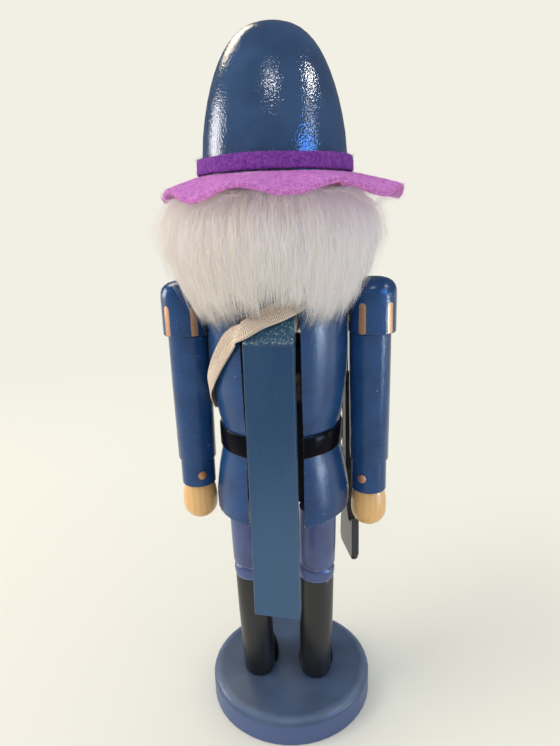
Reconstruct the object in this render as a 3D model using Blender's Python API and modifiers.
"""Toy soldier nutcracker with a felt hat, 379 mm tall, as an assembly of separate pieces.

Metres, +Z up. The figure faces -Y, so its left hand is at +X. The origin is on the base's
underside, on the axis of the turned torso and head. The jaw lever turns on a steel pin
that runs along X through the shoulders.
"""

import math

import bmesh
import bpy
from mathutils import Matrix, Vector

# Driving dimensions, in metres
GAP = 0.0003                # between pieces that touch
ROUND_STEPS = 40            # facets around the torso, belt and dome
SOFT_STEPS = 28             # facets around a piece of fur or felt
SMALL_STEPS = 24            # facets around a leg, arm or hand
MERGE = 0.00005

BASE_R = 0.0490
BASE_TOP_R = 0.0443
BASE_WALL = 0.0128
BASE_TOP = 0.0165
BASE_SHIFT_X = -0.0015      # the disc sits a little off the figure's axis

LEG_X = 0.0188              # leg axis at mid height
LEG_Y = 0.0076              # the legs stand behind the torso's axis
LEG_MID_Z = 0.0735
LEG_LEAN = math.radians(1.5)
BOOT_TOP = 0.0849
KNEE_TOP = 0.0930
KNEE_RISE = 0.0003          # the left leg's ring is this much higher, the right one's lower
HEM_Z = 0.1300

WAIST_R = 0.0334
CHEST_R = 0.0376
SKIRT_R = 0.0380
BELT_LOW = 0.1683
BELT_HIGH = 0.1803
BELT_R = 0.0346
SHOULDER_Z = 0.2580

SLOT_HALF = 0.0143          # the lever slot in the torso and head
SLOT_LEFT = 0.0156          # its left side in the torso, which is milled a little wider
SLOT_FLOOR_Y = 0.0050       # how far forward the slot reaches below the jaw
THROUGH_Z = 0.2220          # above this the slot runs right through the torso
MOUTH_ROOF = 0.2720
LIP_Z = 0.2626
LIP_BACK_Y = -0.0270

PIVOT_Z = 0.2480
PIN_R = 0.0020
PIN_HALF = 0.0300
LEVER_HALF = 0.0119
LEVER_BACK_LOW = 0.0520
LEVER_BACK_HIGH = 0.0505
LEVER_BOTTOM = 0.0878
LEVER_TOP = 0.2336
LEVER_SKEW_LOW = 0.11       # slant of the saw cut at the foot
LEVER_SKEW_TOP = 0.03       # slant of the edge where the sloped top starts
JAW_HALF = 0.0130
JAW_FRONT_R = 0.0372
JAW_LOW = 0.2400
JAW_TOP = 0.2620

ARM_X = 0.0497
SLEEVE_R = 0.0113
SLEEVE_LOW = 0.1560
CUFF_R = 0.0098
CUFF_LOW = 0.1392
CUFF_RISE = 0.0014          # the left cuff ends this much higher, the right one lower
HAND_LENGTH = 0.0227
HAND_R = 0.0101
CAP_X = 0.0508              # the shoulder cap stands a little outside the sleeve
CAP_R = 0.0127
CAP_LOW = 0.2294
CAP_TOP = 0.2586
CAP_DOME = 0.0080           # height of the cap's rounded top

HEAD_R = 0.0348
HEAD_TOP = 0.3097
HAT_X = -0.0012             # the hat is glued a little off the head's axis
DOME_R = 0.0362
DOME_MID = 0.3205
TOP_Z = 0.3792
DOME_FULL = 1.5             # 2 would make the dome's profile an ellipse
DOME_BLUNT = 0.36           # 0.5 would make the dome's profile an ellipse
BAND_R = 0.0391
BAND_LOW = 0.3110
BAND_HIGH = 0.3182
BRIM_IN_R = 0.0366
BRIM_OUT_R = 0.0605
BRIM_UNEVEN = 0.0033        # the felt is cut wider on the figure's right
BRIM_IN_Z = 0.3093          # middle of the felt's thickness
BRIM_OUT_Z = 0.3012
BRIM_WAVE = 0.0025
BRIM_WAVES = 8
FELT = 0.0024

HAIR_R = 0.0560
HAIR_FACE_ANGLE = math.radians(52)   # half the opening in front of the face
DOWEL_R = 0.0030

parts = bpy.data.collections.new("nutcracker")
tools = bpy.data.collections.new("cutters")


def clear_scene():
    for thing in list(bpy.data.objects):
        bpy.data.objects.remove(thing, do_unlink=True)
    for group in (parts, tools):
        bpy.context.scene.collection.children.link(group)


# Materials

def paint(name, colour, roughness=0.35, metallic=0.0):
    material = bpy.data.materials.new(name)
    material.use_nodes = True
    shader = material.node_tree.nodes["Principled BSDF"]
    shader.inputs["Base Color"].default_value = (*colour, 1.0)
    shader.inputs["Roughness"].default_value = roughness
    shader.inputs["Metallic"].default_value = metallic
    return material


COLOURS = {
    "coat": ((0.045, 0.085, 0.21), 0.32, 0.0),
    "lever": ((0.060, 0.115, 0.21), 0.35, 0.0),
    "hat": ((0.040, 0.075, 0.18), 0.22, 0.0),
    "breeches": ((0.105, 0.125, 0.32), 0.40, 0.0),
    "base": ((0.085, 0.140, 0.26), 0.30, 0.0),
    "black": ((0.012, 0.012, 0.014), 0.30, 0.0),
    "steel": ((0.45, 0.45, 0.46), 0.35, 1.0),
    "copper": ((0.48, 0.22, 0.11), 0.38, 0.8),
    "wood": ((0.68, 0.40, 0.17), 0.45, 0.0),
    "skin": ((0.72, 0.42, 0.27), 0.40, 0.0),
    "fur": ((0.80, 0.78, 0.78), 0.90, 0.0),
    "felt": ((0.42, 0.09, 0.50), 0.95, 0.0),
    "ribbon": ((0.55, 0.43, 0.30), 0.80, 0.0),
    "gun": ((0.030, 0.030, 0.034), 0.35, 0.0),
}
PAINTS = {}


def finish_piece(thing, colour, smooth=True):
    """Name the mesh, link the piece to the part's collection and paint it."""
    if colour not in PAINTS:
        PAINTS[colour] = paint(colour, *COLOURS[colour])
    thing.data.name = thing.name
    thing.data.materials.clear()
    thing.data.materials.append(PAINTS[colour])
    for group in list(thing.users_collection):
        group.objects.unlink(thing)
    parts.objects.link(thing)
    if smooth and thing.type == "MESH":
        thing.data.shade_smooth()
    return thing


def make_tool(thing):
    for group in list(thing.users_collection):
        group.objects.unlink(thing)
    tools.objects.link(thing)
    thing.hide_render = True
    thing.display_type = "WIRE"
    return thing


# Shapes

def arc(centre_r, centre_z, radius, start, end, count):
    """Points of an arc in the (radius, height) plane, angles in degrees from +r towards +z."""
    angles = [math.radians(start + (end - start) * i / count) for i in range(count + 1)]
    return [(centre_r + radius * math.cos(a), centre_z + radius * math.sin(a)) for a in angles]


def through(points, per=3):
    """A smooth (Catmull-Rom) curve through the points, with per stretches between neighbours."""
    points = [Vector(p) for p in points]
    ends = [2 * points[0] - points[1], *points, 2 * points[-1] - points[-2]]
    curve = []
    for a, b, c, d in zip(ends, ends[1:], ends[2:], ends[3:]):
        for i in range(per):
            t = i / per
            curve.append(0.5 * (2 * b + (c - a) * t + (2 * a - 5 * b + 4 * c - d) * t ** 2
                                + (3 * b - a - 3 * c + d) * t ** 3))
    curve.append(points[-1])
    return [tuple(p) for p in curve]


def turned(name, profile, colour, steps=SMALL_STEPS, closed=False):
    """A turning about its own Z axis. The profile runs down the outside, top to bottom."""
    mesh = bpy.data.meshes.new(name)
    edges = [(i, i + 1) for i in range(len(profile) - 1)]
    if closed:
        edges.append((len(profile) - 1, 0))
    mesh.from_pydata([(r, 0.0, z) for r, z in profile], edges, [])
    thing = bpy.data.objects.new(name, mesh)
    parts.objects.link(thing)
    screw = thing.modifiers.new("Turn", "SCREW")
    screw.axis = "Z"
    screw.angle = math.tau
    screw.steps = steps
    screw.render_steps = steps
    screw.use_merge_vertices = True
    screw.merge_threshold = MERGE
    screw.use_smooth_shade = True
    return finish_piece(thing, colour)


def box(name, low, high):
    """A box between two corners."""
    bpy.ops.mesh.primitive_cube_add(size=1.0)
    thing = bpy.context.object
    thing.name = name
    low, high = Vector(low), Vector(high)
    thing.data.transform(scaling(high - low))
    thing.location = (low + high) / 2
    return thing


def scaling(size):
    return Matrix.Diagonal((*size, 1.0))


def rod(name, start, end, radius, steps=12):
    """A plain cylinder between two points."""
    start, end = Vector(start), Vector(end)
    bpy.ops.mesh.primitive_cylinder_add(vertices=steps, radius=radius, depth=(end - start).length)
    thing = bpy.context.object
    thing.name = name
    thing.rotation_euler = (end - start).to_track_quat("Z", "Y").to_euler()
    thing.location = (start + end) / 2
    return thing


def cut(thing, tool, operation="DIFFERENCE"):
    boolean = thing.modifiers.new(tool.name, "BOOLEAN")
    boolean.operation = operation
    boolean.solver = "EXACT"
    boolean.object = tool


def bevel(thing, width, segments=2):
    edge = thing.modifiers.new("Edge", "BEVEL")
    edge.width = width
    edge.segments = segments
    edge.limit_method = "ANGLE"
    edge.angle_limit = math.radians(40)
    return edge


def outline(name, splines, half_thickness):
    """A flat piece from closed outlines in its own XY plane, as a mesh."""
    curve = bpy.data.curves.new(name + "_outline", "CURVE")
    curve.dimensions = "2D"
    curve.fill_mode = "BOTH"
    curve.extrude = half_thickness
    curve.resolution_u = 1
    for points in splines:
        spline = curve.splines.new("POLY")
        spline.points.add(len(points) - 1)
        for point, (x, y) in zip(spline.points, points):
            point.co = (x, y, 0.0, 1.0)
        spline.use_cyclic_u = True
    flat = bpy.data.objects.new(name + "_flat", curve)
    parts.objects.link(flat)
    bpy.context.view_layer.update()
    ready = flat.evaluated_get(bpy.context.evaluated_depsgraph_get())
    mesh = bpy.data.meshes.new_from_object(ready)
    bpy.data.objects.remove(flat, do_unlink=True)
    shape = bmesh.new()
    shape.from_mesh(mesh)
    bmesh.ops.remove_doubles(shape, verts=shape.verts, dist=MERGE / 5)
    bmesh.ops.recalc_face_normals(shape, faces=shape.faces)
    shape.to_mesh(mesh)
    shape.free()
    thing = bpy.data.objects.new(name, mesh)
    parts.objects.link(thing)
    return thing


def strip(name, columns, rows, place):
    """An open sheet of columns by rows cells, whose corners place(u, v) sets, u and v from 0 to 1."""
    shape = bmesh.new()
    bmesh.ops.create_grid(shape, x_segments=columns, y_segments=rows, size=0.5)
    for vert in shape.verts:
        vert.co = place(vert.co.x + 0.5, vert.co.y + 0.5)
    bmesh.ops.remove_doubles(shape, verts=shape.verts, dist=MERGE)
    mesh = bpy.data.meshes.new(name)
    shape.to_mesh(mesh)
    shape.free()
    thing = bpy.data.objects.new(name, mesh)
    parts.objects.link(thing)
    return thing


def thicken(thing, thickness):
    shell = thing.modifiers.new("Thickness", "SOLIDIFY")
    shell.thickness = thickness
    shell.offset = 0.0
    shell.use_even_offset = True
    shell.use_rim = True


def polar(radius, angle, height):
    """A point by its angle from the back (+Y) towards the figure's left (+X)."""
    return Vector((radius * math.sin(angle), radius * math.cos(angle), height))


def dowel(name, start, end, pieces, radius=DOWEL_R, colour="wood"):
    """A pin between two points, with a hole for it in each of the pieces."""
    start, end = Vector(start), Vector(end)
    pin = finish_piece(rod(name, start, end, radius), colour)
    reach = (end - start).normalized() * GAP
    hole = make_tool(rod(name + "_hole", start - reach, end + reach, radius + GAP))
    for piece in pieces:
        cut(piece, hole)
    return pin


# Base and legs

def make_base():
    edge = arc(BASE_TOP_R - 0.0005, BASE_WALL, BASE_R - BASE_TOP_R + 0.0005, 85, 5, 4)
    squash = (BASE_TOP - BASE_WALL) / (BASE_R - BASE_TOP_R + 0.0005)
    edge = [(r, BASE_WALL + (z - BASE_WALL) * squash) for r, z in edge]
    profile = [(0.0, BASE_TOP), *edge, (BASE_R, BASE_WALL - 0.001), (BASE_R, 0.0006),
               (BASE_R - 0.0006, 0.0), (0.0, 0.0)]
    base = turned("base_disc", profile, "base", 48)
    base.location.x = BASE_SHIFT_X
    return base


def make_leg(side, name):
    """One leg: boot, bead ring at the knee and thigh, in one turning that leans slightly in."""
    tilt_room = 0.0003          # the leaning ends rise this much at their edges
    foot = BASE_TOP + GAP + tilt_room
    top = HEM_Z - GAP - tilt_room
    knee = KNEE_TOP + side * KNEE_RISE
    boot = BOOT_TOP + side * KNEE_RISE
    profile = [
        (0.0, top), (0.0106, top), (0.0107, 0.1080), (0.0106, knee + 0.0022),
        (0.0100, knee + 0.0009), (0.0092, knee + 0.0005), (0.0092, knee), (0.0101, knee - 0.0008),
        (0.0105, knee - 0.0022), (0.0105, knee - 0.0042), (0.0101, boot + 0.0008),
        (0.0098, boot + 0.0002), (0.0101, boot - 0.0006), (0.0101, 0.0600), (0.0096, 0.0300),
        (0.0095, 0.0195), (0.0086, foot), (0.0, foot),
    ]
    leg = turned(name, [(r, z - LEG_MID_Z) for r, z in profile], "breeches")
    leg.location = (side * LEG_X, LEG_Y, LEG_MID_Z)
    leg.rotation_euler = (0.0, side * LEG_LEAN, 0.0)
    return leg


def along_leg(side, z):
    """A point on a leg's leaning axis."""
    return (side * (LEG_X + (z - LEG_MID_Z) * math.tan(LEG_LEAN)), LEG_Y, z)


def make_toe(side, name):
    """The rounded toe cap glued to the front of a boot."""
    bpy.ops.mesh.primitive_uv_sphere_add(segments=24, ring_count=12, radius=1.0)
    toe = bpy.context.object
    toe.name = name
    toe.data.transform(scaling((0.0108, 0.0170, 0.0170)))
    foot_x = along_leg(side, BASE_TOP)[0]
    toe.location = (foot_x, LEG_Y - 0.0100, BASE_TOP + GAP)
    finish_piece(toe, "black")
    ground = make_tool(box(name + "_ground", (-0.06, -0.06, -0.02), (0.06, 0.06, BASE_TOP + GAP)))
    heel = make_tool(rod(name + "_heel", along_leg(side, 0.0), along_leg(side, 0.06), 0.0105, 24))
    back = make_tool(box(name + "_back", (-0.06, LEG_Y - 0.002, 0.0), (0.06, 0.04, 0.06)))
    for tool in (ground, heel, back):
        cut(toe, tool)
    return toe


# Torso, belt and front trim

TORSO_FLANK = through([
    (CHEST_R, SHOULDER_Z - 0.0045), (CHEST_R, 0.2150), (0.0352, 0.1900),
    (WAIST_R, BELT_HIGH), (WAIST_R, BELT_LOW), (0.0358, 0.1560), (SKIRT_R, 0.1400),
    (SKIRT_R, HEM_Z + 0.0008),
])


def torso_radius(z):
    """The torso's radius at a height."""
    for (r_above, above), (r_below, below) in zip(TORSO_FLANK, TORSO_FLANK[1:]):
        if above >= z >= below:
            return r_below + (r_above - r_below) * (z - below) / (above - below)
    raise ValueError("that height is off the torso's flank")


def make_torso():
    shoulder = arc(CHEST_R - 0.0045, SHOULDER_Z - 0.0045, 0.0045, 90, 15, 3)
    profile = [(0.0, SHOULDER_Z), *shoulder, *TORSO_FLANK, (SKIRT_R - 0.0008, HEM_Z),
               (0.0, HEM_Z)]
    return turned("torso", profile, "coat", ROUND_STEPS)


def make_belt():
    inner = WAIST_R + GAP
    profile = [(inner, BELT_HIGH), (BELT_R - 0.0004, BELT_HIGH), (BELT_R, BELT_HIGH - 0.0006),
               (BELT_R, BELT_LOW + 0.0006), (BELT_R - 0.0004, BELT_LOW), (inner, BELT_LOW)]
    return turned("belt", profile, "black", ROUND_STEPS, closed=True)


def make_slot_tools():
    low = make_tool(box("slot_back", (-SLOT_HALF, SLOT_FLOOR_Y, HEM_Z - 0.01),
                        (SLOT_LEFT, 0.07, SHOULDER_Z + 0.01)))
    high = make_tool(box("slot_through", (-SLOT_HALF, -0.07, THROUGH_Z),
                         (SLOT_HALF, 0.06, SHOULDER_Z + 0.011)))
    return low, high


def make_buckle():
    corners = [(1, 1), (-1, 1), (-1, -1), (1, -1)]
    outer = [(0.0075 * x, 0.0068 * y) for x, y in corners]
    inner = [(0.0051 * x, 0.0044 * y) for x, y in corners]
    buckle = outline("belt_buckle", [outer, inner], 0.0008)
    buckle.rotation_euler = (math.pi / 2, 0.0, 0.0)
    buckle.location = (0.0, -(BELT_R + GAP + 0.0008), (BELT_LOW + BELT_HIGH) / 2)
    bevel(buckle, 0.0003, 1)
    return finish_piece(buckle, "copper", smooth=False)


def make_button(name, radius, height, place, outward):
    """A domed button whose flat back is at place, facing outward."""
    dome = arc(0.0, 0.0, 1.0, 90, 0, 4)
    profile = [(radius * r, height * z) for r, z in dome] + [(0.0, 0.0)]
    profile[0] = (0.0, height)
    button = turned(name, profile, "copper", 14)
    button.location = place
    button.rotation_euler = Vector(outward).to_track_quat("Z", "Y").to_euler()
    return button


def make_coat_buttons():
    """A row down the front, each square to the coat's surface."""
    reach = 0.0020
    for number, z in enumerate((0.2080, 0.1925, 0.1560, 0.1425), 1):
        slope = (torso_radius(z + reach) - torso_radius(z - reach)) / (2 * reach)
        outward = Vector((0.0, -1.0, -slope)).normalized()
        place = Vector((0.0, -torso_radius(z), z)) + outward * (GAP + 0.0001)
        make_button(f"coat_button_{number}", 0.0027, 0.0018, place, outward)


# Head and hat

def make_head():
    flank = through([(HEAD_R - 0.0006, 0.3075), (HEAD_R, 0.2950), (HEAD_R - 0.0002, 0.2800),
                     (0.0336, 0.2660), (0.0322, SHOULDER_Z + GAP + 0.0006)])
    profile = [(0.0, HEAD_TOP), (HEAD_R - 0.0022, HEAD_TOP), *flank,
               (0.0316, SHOULDER_Z + GAP), (0.0, SHOULDER_Z + GAP)]
    head = turned("head", profile, "skin", ROUND_STEPS)
    low = SHOULDER_Z - 0.02
    mouth = make_tool(box("mouth_slot", (-SLOT_HALF, -0.07, low), (SLOT_HALF, 0.07, LIP_Z)))
    cavity = make_tool(box("mouth_cavity", (-SLOT_HALF, LIP_BACK_Y, low - 0.001),
                           (SLOT_HALF, 0.071, MOUTH_ROOF)))
    cut(head, mouth)
    cut(head, cavity)
    return head


def make_nose():
    bpy.ops.mesh.primitive_uv_sphere_add(segments=16, ring_count=10, radius=1.0)
    nose = bpy.context.object
    nose.name = "nose"
    nose.data.transform(scaling((0.0042, 0.0070, 0.0066)))
    nose.location = (0.0, -(HEAD_R + 0.0006), 0.2830)
    finish_piece(nose, "skin")
    cut(nose, make_tool(rod("nose_seat", (0, 0, 0.26), (0, 0, 0.31), HEAD_R + GAP, 80)))
    return nose


def make_hat():
    rise = TOP_Z - DOME_MID
    dome = [(DOME_R * max(0.0, 1 - t ** DOME_FULL) ** DOME_BLUNT, DOME_MID + rise * t)
            for t in (1 - (i / 14) ** 2.2 for i in range(15))]
    low = HEAD_TOP + GAP
    profile = [*dome, (DOME_R, low + 0.0005), (DOME_R - 0.0005, low), (0.0, low)]
    hat = turned("hat_dome", profile, "hat", ROUND_STEPS)
    hat.location.x = HAT_X
    return hat


def make_band():
    """The felt strip glued round the foot of the dome."""
    inner = DOME_R + GAP
    edge = 0.0006
    profile = [(inner, BAND_HIGH), (BAND_R - edge, BAND_HIGH), (BAND_R, BAND_HIGH - edge),
               (BAND_R, BAND_LOW + edge), (BAND_R - edge, BAND_LOW), (inner, BAND_LOW)]
    band = turned("hat_band", profile, "felt", SOFT_STEPS, closed=True)
    band.location.x = HAT_X
    return band


def make_brim():
    """The wavy felt brim: a ring that droops outward."""
    def place(u, v):
        angle = math.tau * u
        wave = BRIM_WAVE * math.cos(BRIM_WAVES * (angle - math.radians(11.6))) * v * v
        wave += 0.0010 * math.cos(3 * angle + math.radians(60)) * v
        radius = BRIM_IN_R + (BRIM_OUT_R - BRIM_UNEVEN * math.sin(angle) - BRIM_IN_R) * v
        height = BRIM_IN_Z + (BRIM_OUT_Z - BRIM_IN_Z) * v + wave
        return polar(radius, angle, height) + Vector((HAT_X, 0.0, 0.0))
    brim = strip("hat_brim", 64, 3, place)
    thicken(brim, FELT)
    return finish_piece(brim, "felt")


# Fur

def make_hair():
    """The wig round the back and sides of the head, open at the face and over the lever."""
    inner = HEAD_R + GAP + 0.0004
    outside = through([(0.0500, 0.2975), (HAIR_R, 0.2900), (HAIR_R + 0.0012, 0.2800),
                       (0.0530, 0.2680), (0.0490, 0.2580), (0.0445, 0.2510)], 2)
    profile = [(inner, 0.3040), *outside, (0.0398, 0.2510), (0.0396, 0.2588), (inner, 0.2600)]
    hair = turned("hair", profile, "fur", SOFT_STEPS, closed=True)
    reach = 0.1
    side = reach * math.tan(HAIR_FACE_ANGLE)
    wedge = outline("face_opening", [[(0.0, -0.006), (side, -reach), (-side, -reach)]], 0.05)
    wedge.location.z = 0.28
    cut(hair, make_tool(wedge))
    sweep = make_tool(box("lever_sweep", (-0.0152, 0.02, 0.24), (0.0152, 0.07, 0.2640)))
    cut(hair, sweep)
    shoulder = CAP_R + 0.0012
    for side, word in ((1, "left"), (-1, "right")):
        corners = (side * (CAP_X - shoulder), side * 0.08)
        room = box(f"shoulder_room_{word}", (min(corners), -0.07, 0.22),
                   (max(corners), shoulder, CAP_TOP + 0.0010))
        cut(hair, make_tool(room))
    return hair


def make_moustache():
    """Two tufts under the nose, in one piece."""
    def place(u, v):
        x = (u - 0.5) * 0.034
        drop = 0.0052 * abs(u - 0.5) * 2 + 0.0042 * (0.5 - v) * 2
        radius = HEAD_R + 0.0014
        return Vector((x, -math.sqrt(radius ** 2 - x ** 2), 0.2714 - drop))
    tuft = strip("moustache", 10, 2, place)
    thicken(tuft, 0.0018)
    return finish_piece(tuft, "fur")


def make_beard():
    """The beard on the jaw block's front, hanging over the chest."""
    def place(u, v):
        x = (u - 0.5) * (0.025 - 0.010 * (1 - v))
        radius = JAW_FRONT_R + GAP + 0.0028 + 0.0018 * min(1.0, 5 * (1 - v))
        return Vector((x, -math.sqrt(radius ** 2 - x ** 2), 0.2590 - 0.0440 * (1 - v)))
    beard = strip("beard", 10, 5, place)
    thicken(beard, 0.0052)
    return finish_piece(beard, "fur")


# Lever and jaw

def make_lever():
    """The board behind the back with the arm that reaches in to the pivot."""
    arm_top, arm_low = 0.2580, 0.2400
    side = [
        (LEVER_BACK_LOW, LEVER_BOTTOM), (LEVER_BACK_HIGH, LEVER_TOP - 0.0008),
        (LEVER_BACK_HIGH - 0.0006, LEVER_TOP), (0.0360, 0.2475), (0.0280, 0.2540),
        (0.0140, arm_top), (-0.0060, arm_top), (-0.0060, arm_low), (0.0200, 0.2380),
        (0.0340, 0.2300), (0.0392, 0.2200), (0.0412, LEVER_BOTTOM),
    ]
    lever = outline("jaw_lever", [[(y, z - PIVOT_Z) for y, z in side]], LEVER_HALF)
    for vert in lever.data.vertices:
        z = vert.co.y + PIVOT_Z
        skew = LEVER_SKEW_LOW if z < 0.1 else LEVER_SKEW_TOP
        if z < 0.1 or LEVER_TOP - 0.001 < z < LEVER_TOP + 0.0001:
            vert.co.y += skew * vert.co.z
    lever.rotation_euler = (math.pi / 2, 0.0, math.pi / 2)
    lever.location = (0.0, 0.0, PIVOT_Z)
    return finish_piece(lever, "lever", smooth=False)


def make_jaw():
    """The block at the front of the lever, with a rounded chin."""
    half = math.asin(JAW_HALF / JAW_FRONT_R)
    front = [(JAW_FRONT_R * math.sin(a), -JAW_FRONT_R * math.cos(a))
             for a in (half * (i / 4 - 1) for i in range(9))]
    back = -0.0060 - GAP
    shape = [*front, (JAW_HALF, back), (-JAW_HALF, back)]
    jaw = outline("jaw_block", [shape], (JAW_TOP - JAW_LOW) / 2)
    jaw.data.transform(Matrix.Translation((0.0, 0.0, (JAW_TOP + JAW_LOW) / 2 - PIVOT_Z)))
    jaw.location = (0.0, 0.0, PIVOT_Z)
    return finish_piece(jaw, "skin", smooth=False)


# Arms

def make_arm(side, word):
    """Sleeve with its cuff, shoulder cap, hand and cuff button of one arm."""
    lip = 0.0005
    sleeve_top = CAP_LOW - GAP
    cuff_low = CUFF_LOW + side * CUFF_RISE
    hand_low = cuff_low - HAND_LENGTH
    sleeve = turned(f"arm_{word}", [
        (0.0, sleeve_top), (SLEEVE_R, sleeve_top), (SLEEVE_R - 0.0001, 0.2000),
        (SLEEVE_R - lip, SLEEVE_LOW + 2 * lip), (SLEEVE_R - 2 * lip, SLEEVE_LOW + 0.0002),
        (CUFF_R, SLEEVE_LOW), (CUFF_R, cuff_low + lip), (CUFF_R - lip, cuff_low),
        (0.0, cuff_low),
    ], "coat")
    fullness = 0.62             # under 1, the cap's shoulder is squarer than an ellipse
    spring = CAP_TOP - CAP_DOME
    dome = [(CAP_R * math.cos(a) ** fullness, spring + CAP_DOME * math.sin(a))
            for a in (math.radians(75 - 15 * i) for i in range(5))]
    cap = turned(f"shoulder_cap_{word}", [
        (0.0, CAP_TOP), *dome, (CAP_R, spring - lip), (CAP_R, CAP_LOW + lip),
        (CAP_R - lip, CAP_LOW), (0.0, CAP_LOW),
    ], "coat")
    palm = cuff_low - GAP
    fingers = arc(0.0, hand_low + HAND_R, HAND_R, 0, -75, 5)
    hand = turned(f"hand_{word}", [
        (0.0, palm), (0.0086, palm), (0.0096, palm - 0.0035), (HAND_R, palm - 0.0080),
        *fingers, (0.0, hand_low),
    ], "wood")
    sleeve.location.x = side * ARM_X
    hand.location.x = side * ARM_X
    cap.location.x = side * CAP_X
    around = math.radians(-26 * side)
    outward = (math.sin(around), math.cos(around), 0.0)
    radius = CUFF_R + GAP
    place = (side * ARM_X + radius * outward[0], radius * outward[1], 0.1475 + side * 0.0005)
    make_button(f"cuff_button_{word}", 0.0026, 0.0014, place, outward)
    return cap


# Sling

SLING = [  # angle from the back in degrees, distance from the axis, height, upward tilt in degrees
    (-24, 0.0383, 0.2525, 0), (-15, 0.0402, 0.2500, 14), (-6, 0.0408, 0.2470, 32),
    (5, 0.0422, 0.2438, 43), (15, 0.0472, 0.2395, 43), (25, 0.0424, 0.2352, 22),
    (36, 0.0392, 0.2290, 5), (52, 0.0394, 0.2160, 0), (68, 0.0394, 0.2035, 0),
    (82, 0.0370, 0.1945, 0), (96, 0.0364, 0.1905, 0), (112, 0.0370, 0.1925, 0),
    (128, 0.0384, 0.2000, 0), (146, 0.0384, 0.2125, 0), (164, 0.0384, 0.2255, 0),
    (182, 0.0384, 0.2370, 0), (200, 0.0384, 0.2465, 0),
]
SLING_WIDE = 0.0100
SLING_THICK = 0.0008


def make_sling():
    """The ribbon from the right shoulder blade, over the lever, round the left side and up."""
    route = through([(*polar(r, math.radians(a), z), math.radians(t)) for a, r, z, t in SLING], 3)
    middle = [Vector(p[:3]) for p in route]

    def place(u, v):
        step = round(u * (len(route) - 1))
        here = middle[step]
        tilt = route[step][3]
        ahead = middle[min(step + 1, len(route) - 1)] - middle[max(step - 1, 0)]
        radial = Vector((here.x, here.y, 0.0)).normalized()
        out = radial * math.cos(tilt) + Vector((0.0, 0.0, math.sin(tilt)))
        across = ahead.cross(out).normalized()
        return here + across * SLING_WIDE * (v - 0.5)
    sling = strip("sling", len(route) - 1, 1, place)
    thicken(sling, SLING_THICK)
    return finish_piece(sling, "ribbon")


# Musket

MUSKET_AT = (-0.0422, -0.0010)      # the butt's back edge
MUSKET_TURN = math.radians(14)      # its front edge is turned inboard
MUSKET_HALF = 0.0022


def round_foot(wood, limit, amount):
    """Round the edges of a flat piece's two faces below a height."""
    shape = bmesh.new()
    shape.from_mesh(wood.data)
    chosen = []
    for edge in shape.edges:
        a, b = edge.verts
        if max(a.co.y, b.co.y) < limit and abs(a.co.z - b.co.z) < MERGE and edge.calc_face_angle(0) > 0.5:
            chosen.append(edge)
    bmesh.ops.bevel(shape, geom=chosen, offset=amount, segments=3, profile=0.5, affect="EDGES")
    shape.to_mesh(wood.data)
    shape.free()


def make_musket():
    """A flat stock with the butt below the hand, and a barrel up the inside of the arm."""
    toe = arc(0.0035, 0.0910, 0.0035, 180, 250, 3)
    heel = arc(0.0240, 0.0908, 0.0035, 280, 360, 4)
    stock = [*toe, *heel, (0.0262, 0.1040), (0.0205, 0.1200), (0.0195, 0.2020),
             (0.0140, 0.2020), (0.0135, 0.1225), (0.0075, 0.1120), (0.0030, 0.1134), (0.0002, 0.1166)]
    wood = outline("musket_stock", [stock], MUSKET_HALF)
    round_foot(wood, 0.0945, 0.0018)
    wood.rotation_euler = (math.pi / 2, 0.0, math.radians(-90) + MUSKET_TURN)
    wood.location = (*MUSKET_AT, 0.0)
    finish_piece(wood, "gun", smooth=False)
    forward = Vector((math.sin(MUSKET_TURN), -math.cos(MUSKET_TURN), 0.0))
    run = Vector((*MUSKET_AT, 0.0)) + forward * (0.0205 + 0.0019 + GAP)
    barrel = rod("musket_barrel", run + Vector((0, 0, 0.1250)), run + Vector((0, 0, 0.2480)),
                 0.0019, 12)
    finish_piece(barrel, "steel")


def main():
    clear_scene()
    base = make_base()
    torso = make_torso()
    belt = make_belt()
    head = make_head()
    hat = make_hat()
    for side, word in ((1, "left"), (-1, "right")):
        leg = make_leg(side, f"leg_{word}")
        dowel(f"foot_dowel_{word}", along_leg(side, 0.0080), along_leg(side, 0.0250), [base, leg])
        dowel(f"hip_dowel_{word}", along_leg(side, 0.1210), along_leg(side, 0.1390), [leg, torso])
        dowel(f"neck_dowel_{word}", (side * 0.0225, 0, 0.2500), (side * 0.0225, 0, 0.2680),
              [torso, head], 0.0025)
        make_toe(side, f"toe_{word}")
        cap = make_arm(side, word)
        dowel(f"arm_dowel_{word}", (side * 0.0300, 0, 0.2370), (side * 0.0465, 0, 0.2370),
              [torso, cap], 0.0025)
    dowel("hat_dowel", (HAT_X, 0, 0.3010), (HAT_X, 0, 0.3200), [head, hat], 0.0035)
    for tool in make_slot_tools():
        cut(torso, tool)
    cut(belt, bpy.data.objects["slot_back"])
    make_buckle()
    make_coat_buttons()
    make_nose()
    make_band()
    make_brim()
    make_hair()
    make_moustache()
    make_beard()
    lever = make_lever()
    make_jaw()
    dowel("lever_pin", (-PIN_HALF, 0, PIVOT_Z), (PIN_HALF, 0, PIVOT_Z), [torso, lever],
          PIN_R, "steel")
    make_sling()
    make_musket()


main()
